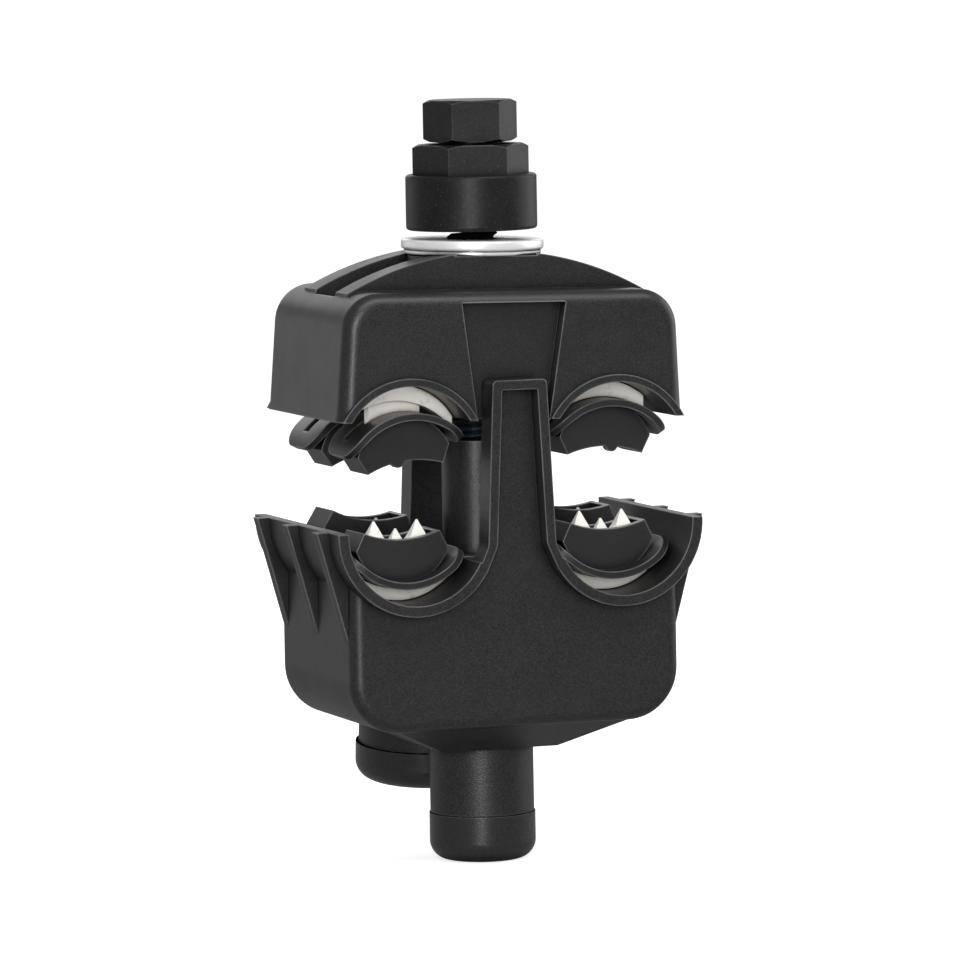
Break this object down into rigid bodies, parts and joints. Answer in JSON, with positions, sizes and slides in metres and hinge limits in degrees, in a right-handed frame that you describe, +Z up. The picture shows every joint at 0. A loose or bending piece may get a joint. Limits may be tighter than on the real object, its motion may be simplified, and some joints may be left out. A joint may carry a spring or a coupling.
{
  "type": "insulation piercing connector",
  "caption": "Black bolted clamp in two halves that joins two insulated cables side by side with toothed contacts in insulating boots, under a shear-head bolt.",
  "frame": {"origin": "on the bolt axis, midway between the mouths of the lower and the upper boots with the connector open as in the picture", "axes": "+Z up along the bolt towards its head, +Y to the rear along the conductors, +X to the right seen from the front"},
  "size_m": [0.0794, 0.0719, 0.1486],
  "materials": {
    "housing_plastic": "matte, fine grained",
    "boot_plastic": "satin",
    "cap_rubber": "satin",
    "head_metal": "satin black",
    "bolt_steel": "zinc plated",
    "washer_zinc": "bright zinc",
    "contact_metal": "tinned"
  },
  "bodies": {
    "lower_half": {"lower_housing": "housing_plastic", "captive_nut": "bolt_steel", "bolt_end_cap": "cap_rubber", "conductor_end_cap": "cap_rubber", "lower_front_contact": "contact_metal", "lower_rear_contact": "contact_metal", "lower_right_front_boot": "boot_plastic", "lower_right_rear_boot": "boot_plastic", "lower_left_front_boot": "boot_plastic", "lower_left_rear_boot": "boot_plastic"},
    "upper_half": {"upper_housing": "housing_plastic", "backing_washer": "washer_zinc", "flat_washer": "washer_zinc", "upper_front_contact": "contact_metal", "upper_rear_contact": "contact_metal", "upper_right_front_boot": "boot_plastic", "upper_right_rear_boot": "boot_plastic", "upper_left_front_boot": "boot_plastic", "upper_left_rear_boot": "boot_plastic"},
    "bolt": {"shear_head": "head_metal", "clamp_bolt": "bolt_steel"}
  },
  "joints": [
    {"name": "clamp_slide", "type": "slide", "parent": "lower_half", "child": "upper_half", "axis": [0, 0, -1], "range_m": [0, 0.00825]},
    {"name": "bolt_turn", "type": "hinge", "parent": "upper_half", "child": "bolt", "pos_m": [0, 0, 0], "axis": [0, 0, -1], "range_deg": [0, 1980]}
  ],
  "couplings": [
    {"joint": "bolt_turn", "follows": "clamp_slide", "rad_per_m": 4188.8}
  ]
}
